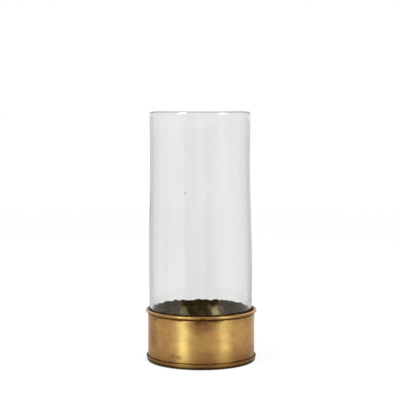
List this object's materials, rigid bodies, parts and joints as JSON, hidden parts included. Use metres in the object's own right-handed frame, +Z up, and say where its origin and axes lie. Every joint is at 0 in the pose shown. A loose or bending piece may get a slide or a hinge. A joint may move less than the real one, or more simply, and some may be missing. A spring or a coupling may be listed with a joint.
{
  "type": "glass cylinder vase with brass cup base",
  "caption": "Free-standing hand-blown glass cylinder that stands loose in a low brass cup with a wired rim and a flared foot, for stems or a pillar candle.",
  "frame": {"origin": "centre of the felt's underside, where the object stands on a table", "axes": "+Z up along the axis of the glass; the object is round, so X and Y are free, and -Y is the side that the picture shows"},
  "size_m": [0.1104, 0.1104, 0.2475],
  "materials": {
    "clear_glass": "clear, hand-blown, faintly grey-green, slightly wavy",
    "aged_brass": "aged and waxed, satin to semi-bright, brown in the creases",
    "steel_wire": "drawn wire, dull",
    "soft_solder": "tin solder, dull grey",
    "felt": "pressed wool felt, matt"
  },
  "bodies": {
    "base": {"collar_band": "aged_brass", "foot_pan": "aged_brass", "rim_wire": "steel_wire", "solder_fillet": "soft_solder", "felt_pad": "felt"},
    "vessel": {"glass_vessel": "clear_glass"}
  },
  "joints": [
    {"name": "glass_lift", "type": "slide", "parent": "base", "child": "vessel", "axis": [0, 0, 1], "range_m": [0, 0.055]}
  ]
}
